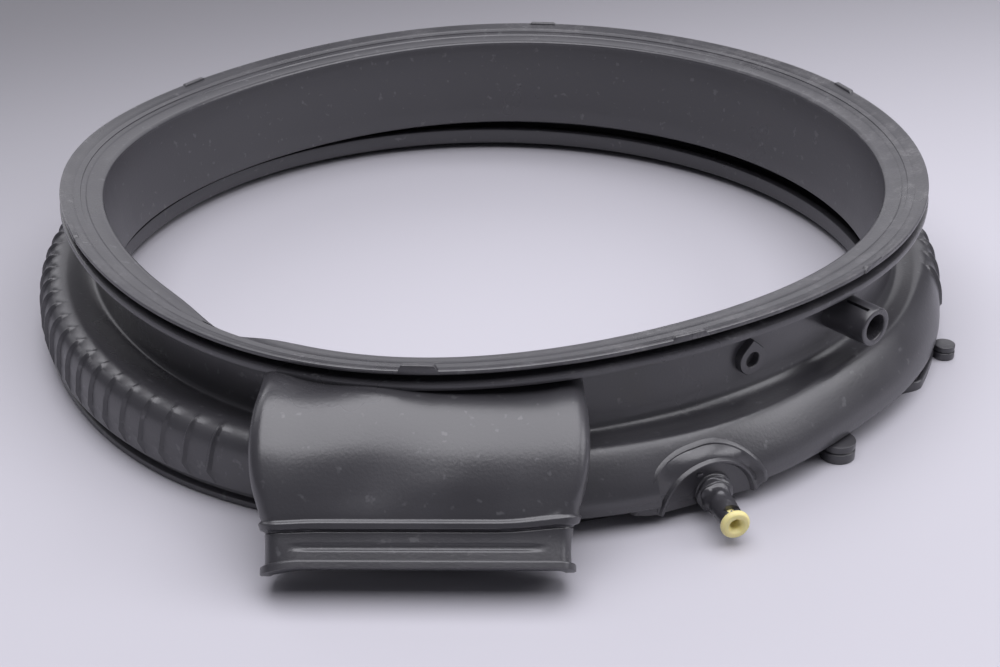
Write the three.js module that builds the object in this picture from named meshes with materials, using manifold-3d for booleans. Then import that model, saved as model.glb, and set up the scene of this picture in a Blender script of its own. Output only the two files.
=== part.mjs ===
// Door seal of a front-loading washer-dryer, lying on its drum side with its door side up.
// One rubber moulding: door lips, clamp groove, wall, hollow ribbed shoulder, drum flange, a flat air
// duct, a drain spout, and a spray spout that holds a plastic nozzle.
// Millimetres, +Z up. Angles are in degrees, anticlockwise from +X as seen from the door side.

import * as THREE from "three";
import { mergeVertices } from "three/addons/utils/BufferGeometryUtils.js";
import Module from "manifold-3d";

const wasm = await Module();
wasm.setup();

// Wall. The other rings are set from it.
const WALL_R = 168;
const WALL = 3;
const WALL_FOOT_INSET = 5.6;
const WALL_FOOT_HEIGHT = 16.6;
const CREASE_HEIGHT = 29;
const VALLEY_DEPTH = 0.8;

// Door side
const LIP_HEIGHT = 63.6;
const LIP_OVERHANG = 12;
const LIP_EDGE = 1.4;
const LIP_INSET = 5.6;
const LIP_DISH = 3.4;
const LIP_TIP = 1.2;
const GROOVE_FLOOR = 3.5;
const GROOVE_GAP = 3.5;
const CLAMP_OVERHANG = 12.4;
const CLAMP_EDGE = 2.6;

// Small blocks on the rim of the door lip
const TAB_ANGLES = [-98, -67, -37, 24, 81, 142, 202];
const TAB_BASE = 16;
const TAB_TOP = 11.5;
const TAB_RISE = 2.4;
const TAB_DEPTH = 2;

// Shoulder. Its outer face goes through points that are parts of its reach and of its height above the
// skirt: full and round, and flatter where the spouts are.
const SHOULDER_REACH = 23.8;
const SHOULDER_RISE = 21.4;
const SHOULDER_ROUND = [[0.38, 0.95], [0.57, 1], [0.78, 0.935], [0.94, 0.775], [1.035, 0.55], [1.055, 0.295]];
const SHOULDER_FLAT = [[0.38, 0.96], [0.525, 0.99], [0.67, 0.85], [0.825, 0.635], [0.96, 0.41], [1.035, 0.195]];
const SHOULDER_WALL = 3;
const SKIRT_HEIGHT = 9.2;
const FLAT_FROM = -84;
const FLAT_TO = -22;
const FLAT_FADE = 22;

// Ribs across the shoulder, in rows of [angle of the first, number]
const RIB_ROWS = [[168.1, 21], [-36, 17]];
const RIB_PITCH = 3.52;
const RIB_WIDTH = 3.6;
const RIB_RISE = 1.7;
const RIB_SINK = 0.8;
const RIB_TOP = 0.63;

// Drum side
const DRUM_GROOVE_DEPTH = 1;
const DRUM_GROOVE_GAP = 2.8;
const FLANGE_SET_BACK = 3.2;
const FLANGE_THICKNESS = 6;
const FLANGE_WIDTH = 14.4;
const FLANGE_EDGE = 0.8;

// How the loose rubber lies: the door side leans and waves, as [waves in a turn, size, angle of a crest]
const LIP_LEAN = [[1, 4.1, -13], [2, 0.8, 22], [3, 1.5, -52], [4, 1, 16]];
const LIP_OVAL = [[3, 1.1, 12], [4, 1.2, -13]];
const RING_OVAL = [[2, 1.9, -13]];
const WALL_LEAN = 0.7;

// Air duct. Its path is [distance out from the wall, height], and a width goes with each point.
const DUCT_X = -25;
const DUCT_TURN = -1;
const DUCT_DEPTH = 21;
const DUCT_WALL = 2.6;
const DUCT_CORNER = 5.5;
const DUCT_PATH = [[-28, 44.5], [2, 44.6], [14, 43.2], [23.4, 38.4], [30, 31.6], [35, 24], [40, 15.4], [46.6, 8.3]];
const DUCT_WIDTHS = [112, 113.5, 115.5, 116, 114, 109, 103.5, 103];
const BEAD_FROM_MOUTH = 12.2;
const BEAD_WIDTH = 3.2;
const BEAD_RISE = 1.3;
const MOUTH_RIM_WIDTH = 2.4;
const MOUTH_RIM_RISE = 1.6;
const COLLAR_GROOVE_LENGTH = 80;
const COLLAR_GROOVE_WIDTH = 2.2;
const COLLAR_GROOVE_DEPTH = 0.7;
const COLLAR_GROOVE_FROM_MOUTH = 6.2;

// Drain spout, high on the wall
const DRAIN_ANGLE = -41;
const DRAIN_HEADING = -50;
const DRAIN_HEIGHT = 46.6;
const DRAIN_R = 7.2;
const DRAIN_BORE_R = 5;
const DRAIN_LENGTH = 20;
const DRAIN_SLOT_LENGTH = 10;
const DRAIN_SLOT_WIDTH = 1.3;
const DRAIN_SLOT_END = 3;

// Teardrop eyelet on the wall
const EYELET_ANGLE = -55.5;
const EYELET_HEIGHT = 44.6;
const EYELET_R = 5.6;
const EYELET_HOLE_R = 2.7;
const EYELET_PEAK = 1.8;
const EYELET_RISE = 2.2;

// Arched boss and spray spout. The boss's face is set back from the skirt.
const BOSS_ANGLE = -65.2;
const BOSS_SET_BACK = 3.4;
const BOSS_HEIGHT = 1.6;
const BOSS_FACE_R = 19.4;
const BOSS_RIM = 1.5;
const BOSS_RIM_RISE = 2;
const BOSS_SPREAD = 4.5;
const BOSS_DEPTH = 9;
const SPRAY_HEIGHT = 9;
const SPRAY_FOOT_R = 6.8;
const SPRAY_R = 4.4;
const SPRAY_LENGTH = 20.5;
const SPRAY_HEADING = -75;
const SPRAY_COLLAR_LENGTH = 5.5;
const SPRAY_BORE_DEPTH = 34;

// Nozzle, a flange and a stem in the spray spout
const NOZZLE_FLANGE_R = 5;
const NOZZLE_FLANGE = 3;
const NOZZLE_STEM_R = 2.6;
const NOZZLE_STEM_LENGTH = 12;
const NOZZLE_BORE_R = 1.9;
const NOZZLE_CONE = 1.6;
const FIT_GAP = 0.3;

// Lugs on the drum flange, as [angle, how far the lug's centre is past the flange, lug radius, thickness]
const LUGS = [[-46, 0.8, 6.6, 4.6], [-18.2, 4.8, 3.6, 3.2]];
const LUG_CAP_RISE = 3.4;
const FOOT_ANGLES = [-71.2, -58.6];
const FOOT_SIZE = [2.2, 3.4, 7];

// Steps round the ring, along the duct, and round small parts
const RING_STEPS = 64;
const DUCT_STEPS = 10;
const ROUND_STEPS = 18;
const BOSS_STEPS = 28;

const SKIRT_R = WALL_R + SHOULDER_REACH;
const FLANGE_R = SKIRT_R - FLANGE_SET_BACK;
const BOSS_FACE = SKIRT_R - BOSS_SET_BACK;
const WELL_OUT = 2 * SKIRT_R;

const RUBBER = new THREE.MeshStandardMaterial({ color: 0x45454b, roughness: 0.55, metalness: 0 });
const PLASTIC = new THREE.MeshStandardMaterial({ color: 0xe6e08c, roughness: 0.4, metalness: 0 });

const radians = THREE.MathUtils.degToRad;
const lerp = THREE.MathUtils.lerp;

function waves(list, angle) {
  return list.reduce((sum, [count, size, crest]) => sum + size * Math.cos(radians(count * (angle - crest))), 0);
}

// A point of the section at an angle round the ring: lean is how much of the door side's lean it takes.
function place(angle, [r, z, lean = 0]) {
  const radius = r + waves(RING_OVAL, angle) + lean * waves(LIP_OVAL, angle);
  const height = z + lean * waves(LIP_LEAN, angle);
  return new THREE.Vector3(radius * Math.cos(radians(angle)), radius * Math.sin(radians(angle)), height);
}

// 1 where the shoulder is flat, 0 where it is round
function flatness(angle) {
  const middle = (FLAT_FROM + FLAT_TO) / 2;
  const half = (FLAT_TO - FLAT_FROM) / 2;
  const turned = ((angle - middle + 540) % 360 + 360) % 360 - 180;
  return 1 - THREE.MathUtils.smoothstep(Math.abs(turned), half, half + FLAT_FADE);
}

function shoulder(angle) {
  const flat = flatness(angle);
  return SHOULDER_ROUND.map(([out, up], i) => [
    WALL_R + SHOULDER_REACH * lerp(out, SHOULDER_FLAT[i][0], flat),
    SKIRT_HEIGHT + SHOULDER_RISE * lerp(up, SHOULDER_FLAT[i][1], flat),
  ]);
}

// Moves each point of an outline to its right, by a wall's thickness
function inset(points, thickness) {
  return points.map(([r, z], i) => {
    const [r0, z0] = points[Math.max(i - 1, 0)];
    const [r1, z1] = points[Math.min(i + 1, points.length - 1)];
    const length = Math.hypot(r1 - r0, z1 - z0);
    return [r + (z1 - z0) / length * thickness, z - (r1 - r0) / length * thickness];
  });
}

// The moulding's section at an angle: over the door lip, down the outside, under, and up the inside
function section(angle) {
  const lipR = WALL_R + LIP_OVERHANG;
  const mouthR = WALL_R - LIP_INSET;
  const grooveTop = LIP_HEIGHT - LIP_EDGE / 2;
  const grooveBottom = grooveTop - GROOVE_GAP;
  const clampR = WALL_R + CLAMP_OVERHANG;
  const clampBottom = grooveBottom - CLAMP_EDGE;
  const footR = WALL_R - WALL_FOOT_INSET;
  const outer = [...shoulder(angle), [SKIRT_R, SKIRT_HEIGHT]];
  const inner = inset(outer, SHOULDER_WALL).slice(0, -1).reverse();
  const drumGrooveR = FLANGE_R - DRUM_GROOVE_DEPTH;
  const flangeTop = SKIRT_HEIGHT - DRUM_GROOVE_GAP;
  const flangeMouthR = FLANGE_R - FLANGE_WIDTH;
  return [
    [mouthR, LIP_HEIGHT - LIP_DISH, 1],
    [lerp(mouthR, lipR, 0.45), LIP_HEIGHT - LIP_DISH * 0.42, 1],
    [lipR - LIP_EDGE * 1.8, LIP_HEIGHT + LIP_EDGE * 0.4, 1],
    [lipR, LIP_HEIGHT + LIP_EDGE / 2, 1],
    [lipR, grooveTop, 1],
    [WALL_R + GROOVE_FLOOR, grooveTop, 1],
    [WALL_R + GROOVE_FLOOR, grooveBottom, 1],
    [clampR, grooveBottom, 1],
    [clampR, clampBottom, 1],
    [WALL_R + 2.4, clampBottom - 0.9, 1],
    [WALL_R, clampBottom - 3.4, 1],
    [WALL_R, lerp(CREASE_HEIGHT, clampBottom, 0.4), 0.9],
    [WALL_R + 0.4, CREASE_HEIGHT + 1.6, WALL_LEAN],
    [WALL_R + 1.4, CREASE_HEIGHT, WALL_LEAN],
    [WALL_R + 4, CREASE_HEIGHT - VALLEY_DEPTH, WALL_LEAN / 2],
    ...outer,
    [drumGrooveR, SKIRT_HEIGHT - 0.6],
    [drumGrooveR, flangeTop],
    [FLANGE_R, flangeTop - 0.6],
    [FLANGE_R, FLANGE_EDGE],
    [FLANGE_R - FLANGE_EDGE, 0],
    [flangeMouthR + FLANGE_EDGE, 0],
    [flangeMouthR, FLANGE_EDGE],
    [flangeMouthR, FLANGE_THICKNESS - FLANGE_EDGE],
    [flangeMouthR + FLANGE_EDGE, FLANGE_THICKNESS],
    [drumGrooveR - SHOULDER_WALL - 1, FLANGE_THICKNESS],
    ...inner,
    [WALL_R - 0.6, CREASE_HEIGHT - SHOULDER_WALL - 1.2, WALL_LEAN],
    [footR + WALL, WALL_FOOT_HEIGHT + 0.8, WALL_LEAN],
    [footR + WALL / 2, WALL_FOOT_HEIGHT, WALL_LEAN],
    [footR, WALL_FOOT_HEIGHT + 0.8, WALL_LEAN],
    [WALL_R - WALL - 0.6, CREASE_HEIGHT + 4, WALL_LEAN],
    [WALL_R - WALL, clampBottom - 3, 1],
    [WALL_R - WALL + 0.6, grooveBottom - 0.6, 1],
    [mouthR, LIP_HEIGHT - LIP_DISH - LIP_TIP, 1],
  ];
}

// Joins loops of points into one skin; the last loop meets the first, or both ends are capped
function skin(loops, isRing) {
  const count = loops[0].length;
  const points = loops.flat();
  const faces = [];
  const last = isRing ? loops.length : loops.length - 1;
  for (let j = 0; j < last; j++) {
    const here = j * count;
    const there = (j + 1) % loops.length * count;
    for (let i = 0; i < count; i++) {
      const next = (i + 1) % count;
      faces.push(here + i, here + next, there + i);
      faces.push(here + next, there + next, there + i);
    }
  }
  if (!isRing) {
    const end = (loops.length - 1) * count;
    for (let i = 1; i < count - 1; i++) {
      faces.push(0, i + 1, i);
      faces.push(end, end + i, end + i + 1);
    }
  }
  const geometry = new THREE.BufferGeometry().setFromPoints(points);
  geometry.setIndex(faces);
  return geometry;
}

// A ring whose section may change with the angle
function ring(sectionAt) {
  const loops = [];
  for (let step = 0; step < RING_STEPS; step++) {
    const angle = step * 360 / RING_STEPS;
    loops.push(sectionAt(angle).map((point) => place(angle, point)));
  }
  return skin(loops, true);
}

function solid(geometry) {
  const bare = geometry.clone();
  bare.deleteAttribute("normal");
  bare.deleteAttribute("uv");
  const merged = mergeVertices(bare, 1e-4);
  return new wasm.Manifold(new wasm.Mesh({
    numProp: 3,
    vertProperties: new Float32Array(merged.attributes.position.array),
    triVerts: new Uint32Array(merged.index.array),
  }));
}

function geometryOf(manifold) {
  const mesh = manifold.getMesh();
  const geometry = new THREE.BufferGeometry();
  geometry.setAttribute("position", new THREE.BufferAttribute(new Float32Array(mesh.vertProperties), 3));
  geometry.setIndex(new THREE.BufferAttribute(new Uint32Array(mesh.triVerts), 1));
  const flat = geometry.toNonIndexed();
  flat.computeVertexNormals();
  return flat;
}

// Turns a shape made along +Z to point outwards at a heading, and moves it to a place on the ring
function aimed(geometry, heading, origin) {
  geometry.rotateY(Math.PI / 2);
  geometry.rotateZ(radians(heading));
  geometry.translate(origin.x, origin.y, origin.z);
  return geometry;
}

function polar(angle, r, z) {
  return new THREE.Vector3(r * Math.cos(radians(angle)), r * Math.sin(radians(angle)), z);
}

// A rod, cone or tube turned about +Z from an outline of [radius, height] points that starts on the axis
function turned(outline, steps = ROUND_STEPS) {
  const geometry = new THREE.LatheGeometry(outline.map(([r, z]) => new THREE.Vector2(r, z)), steps);
  return geometry.rotateX(Math.PI / 2);
}

function rod(r, from, to, steps = ROUND_STEPS) {
  return turned([[0, from], [r, from], [r, to], [0, to]], steps);
}

function ribs() {
  const angles = RIB_ROWS.flatMap(([first, number]) => Array.from({ length: number }, (_, i) => first + i * RIB_PITCH));
  return angles.map((angle) => {
    const outer = shoulder(angle);
    const [topR, topHeight] = outer[1];
    const top = (RIB_TOP - SHOULDER_ROUND[1][0]) / (SHOULDER_ROUND[2][0] - SHOULDER_ROUND[1][0]);
    const run = [
      [lerp(topR, outer[2][0], top), lerp(topHeight, outer[2][1], top)],
      outer[2],
      outer[3],
      outer[5],
      [lerp(SKIRT_R, outer[5][0], 0.2), lerp(SKIRT_HEIGHT, outer[5][1], 0.2)],
    ];
    const under = inset(run, RIB_SINK);
    const over = inset(run, -RIB_RISE);
    const across = new THREE.Vector3(-Math.sin(radians(angle)), Math.cos(radians(angle)), 0);
    return skin(run.map((point, i) => {
      const isEnd = i === 0 || i === run.length - 1;
      const low = place(angle, under[i]);
      return [
        low.clone().addScaledVector(across, -RIB_WIDTH / 2),
        low.clone().addScaledVector(across, RIB_WIDTH / 2),
        place(angle, isEnd ? point : over[i]),
      ];
    }), false);
  });
}

function tabs() {
  return TAB_ANGLES.map((angle) => {
    const rim = place(angle, [WALL_R + LIP_OVERHANG, LIP_HEIGHT, 1]);
    const shape = new THREE.Shape([
      new THREE.Vector2(-TAB_BASE / 2, -LIP_EDGE * 0.4),
      new THREE.Vector2(TAB_BASE / 2, -LIP_EDGE * 0.4),
      new THREE.Vector2(TAB_TOP / 2, TAB_RISE),
      new THREE.Vector2(-TAB_TOP / 2, TAB_RISE),
    ]);
    const block = new THREE.ExtrudeGeometry(shape, { depth: TAB_DEPTH, bevelEnabled: false });
    block.rotateX(Math.PI / 2);
    block.translate(0, TAB_DEPTH, 0);
    block.rotateZ(radians(angle + 90));
    const inwards = polar(angle, -TAB_DEPTH - 0.2, 0);
    return block.translate(rim.x + inwards.x, rim.y + inwards.y, rim.z);
  });
}

// A rounded rectangle in the plane across a path, as corner arcs
function roundedLoop(centre, side, up, width, depth, corner) {
  const loop = [];
  const steps = 2;
  [[1, 1], [-1, 1], [-1, -1], [1, -1]].forEach(([sx, sy], quarter) => {
    for (let step = 0; step <= steps; step++) {
      const turn = Math.PI / 2 * (quarter + step / steps);
      const u = sx * (width / 2 - corner) + corner * Math.cos(turn);
      const v = sy * (depth / 2 - corner) + corner * Math.sin(turn);
      loop.push(centre.clone().addScaledVector(side, u).addScaledVector(up, v));
    }
  });
  return loop;
}

const ductPath = new THREE.CatmullRomCurve3(DUCT_PATH.map(([out, z]) => new THREE.Vector3(0, -WALL_R - out, z)));
const ductSide = new THREE.Vector3(1, 0, 0);

// A length of the duct between two distances from the start, grown by a margin all round
function ductLength(from, to, margin, steps, past = 0) {
  const length = ductPath.getLength();
  const loops = [];
  for (let step = 0; step <= steps; step++) {
    const along = THREE.MathUtils.clamp(lerp(from, to, step / steps) / length, 0, 1);
    const centre = ductPath.getPointAt(along);
    const ahead = ductPath.getTangentAt(along);
    if (step === steps) centre.addScaledVector(ahead, past);
    const knot = ductPath.getUtoTmapping(along) * (DUCT_WIDTHS.length - 1);
    const left = Math.min(Math.floor(knot), DUCT_WIDTHS.length - 2);
    const width = lerp(DUCT_WIDTHS[left], DUCT_WIDTHS[left + 1], knot - left);
    const up = ahead.clone().cross(ductSide);
    loops.push(roundedLoop(centre, ductSide, up, width + 2 * margin, DUCT_DEPTH + 2 * margin, DUCT_CORNER + margin));
  }
  const geometry = skin(loops, false);
  geometry.rotateZ(radians(DUCT_TURN));
  return geometry.translate(DUCT_X + ductEndShift(), 0, 0);
}

// Turning the duct about the ring's axis moves it sideways; this brings it back over its own middle
function ductEndShift() {
  return ductPath.getPoint(1).y * Math.sin(radians(DUCT_TURN));
}

function collarGroove() {
  const length = ductPath.getLength();
  const along = (length - COLLAR_GROOVE_FROM_MOUTH) / length;
  const centre = ductPath.getPointAt(along);
  const ahead = ductPath.getTangentAt(along);
  const up = ahead.clone().cross(ductSide);
  centre.addScaledVector(up, DUCT_DEPTH / 2 + 1 - COLLAR_GROOVE_DEPTH);
  const block = new THREE.BoxGeometry(COLLAR_GROOVE_LENGTH, COLLAR_GROOVE_WIDTH, 2);
  block.applyMatrix4(new THREE.Matrix4().makeBasis(ductSide, ahead, up.clone().negate()).setPosition(centre));
  block.rotateZ(radians(DUCT_TURN));
  return block.translate(DUCT_X + ductEndShift(), 0, 0);
}

function drainSpout() {
  const mouth = polar(DRAIN_ANGLE, WALL_R + DRAIN_LENGTH, DRAIN_HEIGHT);
  const root = -DRAIN_LENGTH - 2 * DRAIN_R;
  const tube = aimed(rod(DRAIN_R, root, 0), DRAIN_HEADING, mouth);
  const bore = aimed(rod(DRAIN_BORE_R, root - 2 * WALL, 1), DRAIN_HEADING, mouth);
  const slot = new THREE.BoxGeometry(DRAIN_R, DRAIN_SLOT_WIDTH, DRAIN_SLOT_LENGTH);
  slot.translate(-DRAIN_R, 0, -DRAIN_SLOT_END - DRAIN_SLOT_LENGTH / 2);
  return { tube, bore, slot: aimed(slot, DRAIN_HEADING, mouth) };
}

function eyelet() {
  const shape = new THREE.Shape();
  const peak = EYELET_R + EYELET_PEAK;
  const lean = Math.acos(EYELET_R / peak);
  shape.absarc(0, 0, EYELET_R, Math.PI / 2 + lean, Math.PI / 2 - lean + 2 * Math.PI, false);
  shape.lineTo(0, peak);
  const hole = new THREE.Path();
  hole.absarc(0, 0, EYELET_HOLE_R, 0, 2 * Math.PI, true);
  shape.holes.push(hole);
  const depth = EYELET_RISE + WALL * 0.7;
  const plate = new THREE.ExtrudeGeometry(shape, { depth, bevelEnabled: false, curveSegments: 8 });
  plate.rotateZ(Math.PI);
  const foot = place(EYELET_ANGLE, [WALL_R - WALL * 0.7, EYELET_HEIGHT]);
  return aimed(plate, EYELET_ANGLE, foot);
}

const sprayFoot = polar(BOSS_ANGLE, BOSS_FACE, SPRAY_HEIGHT);

function bossParts() {
  const centre = polar(BOSS_ANGLE, 0, BOSS_HEIGHT);
  const rimR = BOSS_FACE_R + BOSS_RIM;
  const front = BOSS_FACE + BOSS_RIM_RISE;
  const back = BOSS_FACE - BOSS_DEPTH;
  const hood = turned([[0, back], [rimR + BOSS_SPREAD, back], [rimR + BOSS_SPREAD * 0.64, lerp(back, front, 0.46)],
    [rimR, front], [0, front]], BOSS_STEPS);
  const face = rod(BOSS_FACE_R, BOSS_FACE, BOSS_FACE + BOSS_DEPTH, BOSS_STEPS);
  const sunk = -BOSS_DEPTH * 0.67;
  const tube = turned([[0, sunk], [SPRAY_FOOT_R, sunk], [SPRAY_FOOT_R, SPRAY_COLLAR_LENGTH * 0.64],
    [lerp(SPRAY_R, SPRAY_FOOT_R, 0.4), SPRAY_COLLAR_LENGTH], [SPRAY_R, SPRAY_LENGTH], [0, SPRAY_LENGTH]]);
  const bore = rod(NOZZLE_STEM_R + FIT_GAP, -SPRAY_BORE_DEPTH, SPRAY_LENGTH + 1);
  return {
    hood: aimed(hood, BOSS_ANGLE, centre),
    face: aimed(face, BOSS_ANGLE, centre),
    tube: aimed(tube, SPRAY_HEADING, sprayFoot),
    bore: aimed(bore, SPRAY_HEADING, sprayFoot),
  };
}

function lugs() {
  const made = [];
  for (const [angle, past, size, thickness] of LUGS) {
    const centre = polar(angle, FLANGE_R + past, 0);
    made.push(rod(size, 0, thickness).translate(centre.x, centre.y, 0));
    const length = past + FLANGE_WIDTH / 2;
    const bridge = new THREE.BoxGeometry(length, size, thickness);
    bridge.translate(FLANGE_R + past - length / 2, 0, thickness / 2);
    made.push(bridge.rotateZ(radians(angle)));
  }
  const [angle, past, size, thickness] = LUGS[1];
  const cap = new THREE.BoxGeometry(size * 2, size * 1.6, LUG_CAP_RISE);
  cap.translate(FLANGE_R + past - 1, 0, thickness + LUG_CAP_RISE / 2 - 0.5);
  made.push(cap.rotateZ(radians(angle)));
  for (const footAngle of FOOT_ANGLES) {
    const foot = new THREE.BoxGeometry(...FOOT_SIZE);
    foot.translate(BOSS_FACE + 1, 0, FOOT_SIZE[2] / 2 + 2);
    made.push(foot.rotateZ(radians(footAngle)));
  }
  return made;
}

function doorSeal() {
  const bellows = solid(ring(section));
  const midWall = WALL_R - WALL / 2;
  const doorway = solid(ring(() => [[0.6 * WALL_R, 0], [0.6 * WALL_R, LIP_HEIGHT], [midWall, LIP_HEIGHT], [midWall, 0]]
    .map(([r, z]) => [r, z, 1])));
  const floor = solid(new THREE.BoxGeometry(2 * WELL_OUT, 2 * WELL_OUT, WELL_OUT).translate(0, 0, -WELL_OUT / 2));
  const length = ductPath.getLength();
  const drain = drainSpout();
  const boss = bossParts();
  const bead = ductLength(length - BEAD_FROM_MOUTH - BEAD_WIDTH / 2, length - BEAD_FROM_MOUTH + BEAD_WIDTH / 2,
    BEAD_RISE, 1);
  const mouthRim = ductLength(length - MOUTH_RIM_WIDTH, length, MOUTH_RIM_RISE, 1);
  const outside = [ductLength(0, length, 0, DUCT_STEPS), bead, mouthRim, drain.tube].map(solid);
  const attached = outside.reduce((sum, next) => sum.add(next)).subtract(doorway).subtract(floor);
  let seal = bellows.add(attached).add(solid(boss.hood).subtract(floor).subtract(doorway));
  seal = seal.subtract(solid(boss.face)).add(solid(boss.tube));
  const small = [...tabs(), ...ribs(), ...lugs(), eyelet()];
  seal = small.reduce((sum, next) => sum.add(solid(next)), seal);
  const cuts = [ductLength(0, length, -DUCT_WALL, DUCT_STEPS, 2), collarGroove(), drain.bore, drain.slot, boss.bore];
  return cuts.reduce((sum, next) => sum.subtract(solid(next)), seal);
}

function sprayNozzle() {
  const front = FIT_GAP + NOZZLE_FLANGE;
  const outline = [
    [NOZZLE_BORE_R, -NOZZLE_STEM_LENGTH],
    [NOZZLE_STEM_R, -NOZZLE_STEM_LENGTH],
    [NOZZLE_STEM_R, FIT_GAP],
    [NOZZLE_FLANGE_R - 1, FIT_GAP],
    [NOZZLE_FLANGE_R, FIT_GAP + 1],
    [NOZZLE_FLANGE_R, front - 0.8],
    [NOZZLE_FLANGE_R - 0.8, front],
    [NOZZLE_BORE_R + NOZZLE_CONE / 2, front],
    [NOZZLE_BORE_R, front - NOZZLE_CONE],
    [NOZZLE_BORE_R, -NOZZLE_STEM_LENGTH],
  ];
  const heading = radians(SPRAY_HEADING);
  const end = sprayFoot.clone().add(new THREE.Vector3(Math.cos(heading), Math.sin(heading), 0)
    .multiplyScalar(SPRAY_LENGTH));
  return solid(aimed(turned(outline), SPRAY_HEADING, end));
}

const part = new THREE.Group();
for (const [name, shape, material] of [
  ["rubber_seal", doorSeal(), RUBBER],
  ["spray_nozzle", sprayNozzle(), PLASTIC],
]) {
  const mesh = new THREE.Mesh(geometryOf(shape), material);
  mesh.name = name;
  part.add(mesh);
}

// The origin is the middle of the part's box, on the floor
const box = new THREE.Box3().setFromObject(part);
const middle = box.getCenter(new THREE.Vector3());
part.position.set(-middle.x, -middle.y, -box.min.z);

export default part;
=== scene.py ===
"""Door seal of a front-loading washer-dryer, lying on a pale table with its door side up."""

import math

import bmesh
import bpy
from mathutils import Matrix, Vector


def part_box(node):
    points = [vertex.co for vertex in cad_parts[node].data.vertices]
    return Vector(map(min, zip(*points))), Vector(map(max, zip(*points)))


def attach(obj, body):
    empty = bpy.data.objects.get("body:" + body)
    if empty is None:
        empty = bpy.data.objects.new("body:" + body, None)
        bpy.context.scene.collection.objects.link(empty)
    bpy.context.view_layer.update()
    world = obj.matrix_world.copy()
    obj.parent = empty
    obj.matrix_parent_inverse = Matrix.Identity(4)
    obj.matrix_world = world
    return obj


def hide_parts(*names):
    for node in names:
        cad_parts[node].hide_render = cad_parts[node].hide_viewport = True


bl_info = {
    "name": "Washer-dryer door seal",
    "version": (1, 0, 0),
    "blender": (4, 5, 0),
    "location": "3D View > Sidebar > Door Seal",
    "description": "Builds a rubber door seal with its air duct, spouts and spray nozzle",
    "category": "Object",
}

MM = 0.001
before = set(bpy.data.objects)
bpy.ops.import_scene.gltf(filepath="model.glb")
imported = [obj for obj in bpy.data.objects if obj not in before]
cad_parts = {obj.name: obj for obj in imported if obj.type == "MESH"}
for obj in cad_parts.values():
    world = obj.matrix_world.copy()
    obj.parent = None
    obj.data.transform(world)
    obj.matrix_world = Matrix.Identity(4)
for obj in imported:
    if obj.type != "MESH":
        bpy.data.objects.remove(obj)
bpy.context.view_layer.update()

# The ring's axis stands this far in front of the back of the part's box
RING_TO_BACK = 191.405
RING_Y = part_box("rubber_seal")[1].y / MM - RING_TO_BACK

# Angles are in degrees, anticlockwise from +X; lengths in tables are in millimetres from the ring's axis.
WALL_R = 168.0
WALL_THICK = 3.0
MOUTH_R = WALL_R - 5.6
LIP_R = WALL_R + 12.0
LIP_HEIGHT = 63.6
SKIRT_R = 191.8
SKIRT_HEIGHT = 8.2
SHOULDER_RISE = 22.4
SHOULDER_REACH = 23.8
SHOULDER_ROUND = [(0.38, 0.95), (0.57, 1.0), (0.78, 0.935), (0.9, 0.8), (0.96, 0.58), (0.968, 0.3)]
SHOULDER_FLAT = [(0.38, 0.96), (0.525, 0.99), (0.67, 0.85), (0.825, 0.635), (0.96, 0.41), (1.035, 0.195)]
FLAT_FROM, FLAT_TO, FLAT_FADE = -84.0, -22.0, 22.0
FLANGE_R = SKIRT_R - 2.0
FLANGE_WIDTH = 15.6

# Edges that turn more than this are shaded sharp
SHARP_TURN = math.radians(38)

# Points closer than this, in metres, are one point
SAME_POINT = 1e-7

# The base ring inside: its inner radius, and the heights of its lower and upper edge
BASE_RING_R, BASE_RING_LOW, BASE_RING_HIGH = 166.0, 3.9, 11.2

# How the loose rubber lies, as (waves in a turn, size, angle of a crest)
LIP_LEAN = [(1, 4.1, -13), (2, 0.8, 22), (3, 1.5, -52), (4, 1.0, 16)]
LIP_OVAL = [(3, 1.1, 12), (4, 1.2, -13)]
RING_OVAL = [(2, 1.9, -13)]
WALL_LEAN = 0.7

# Bulges of the base, tucks of the flange and droops of the lip, as (middle angle, half width, size)
BASE_BULGES = [(-129, 18, 2.4), (-43, 13, -3.2)]
FLANGE_TUCKS = [(-62, 30, 10.5)]
LIP_DROOPS = [(-127, 6, 5.5)]

# Rows of ribs as (angle of the first, number); each rib slants by RIB_SKEW degrees towards its foot
RIB_ROWS = [(168.1, 21), (-9.6, 17)]
RIB_SKEW = -0.9
RIB_TOP_R = WALL_R + SHOULDER_REACH * 0.6
RIB_FADE = 5.0
RIB_STEPS = (-0.5, -0.3, -0.1, 0.1, 0.3, 0.5)
PLAIN_STEP = 0.75

# Rim blocks as (angle, rise)
TAB_R = WALL_R + 11.0
TABS = [(-98, 2.4), (-67, 1.3), (-37, 1.1), (24, 0.9), (81, 0.9), (142, 0.9), (202, 0.9)]

# The duct's middle line as (distance out from the wall, height), with its width and depth at each point
DUCT_X = -25.0
DUCT_TURN = -1.0
DUCT_PATH = [
    (-28, 44.5), (2, 44.6), (14, 43.2), (23.4, 38.4), (30, 31.6), (35.4, 24.3), (41.2, 16.1), (49.9, 7.7),
]
DUCT_WIDTHS = [112, 113.5, 115.5, 116, 114, 109, 103.5, 103]
DUCT_DEPTHS = [21, 21, 21, 21, 21, 20.2, 18.6, 17.4]
DUCT_ROUND = 5.5

# Nearer to the wall than this the duct's walls are drawn into the ring's wall
DUCT_FREE = 176.0

# The bead, the rim and the collar's groove, in distances back from the duct's mouth
BEAD_START, BEAD_END, BEAD_RISE = 14.2, 18.5, 1.3
LINE_AT, LINE_WIDTH, LINE_DEPTH = 13.7, 0.45, 0.4
RIM_LENGTH, RIM_RISE = 2.0, 1.6
GROOVE_AT, GROOVE_WIDTH, GROOVE_DEPTH, GROOVE_HALF = 6.9, 1.1, 0.7, 39.0

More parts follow.
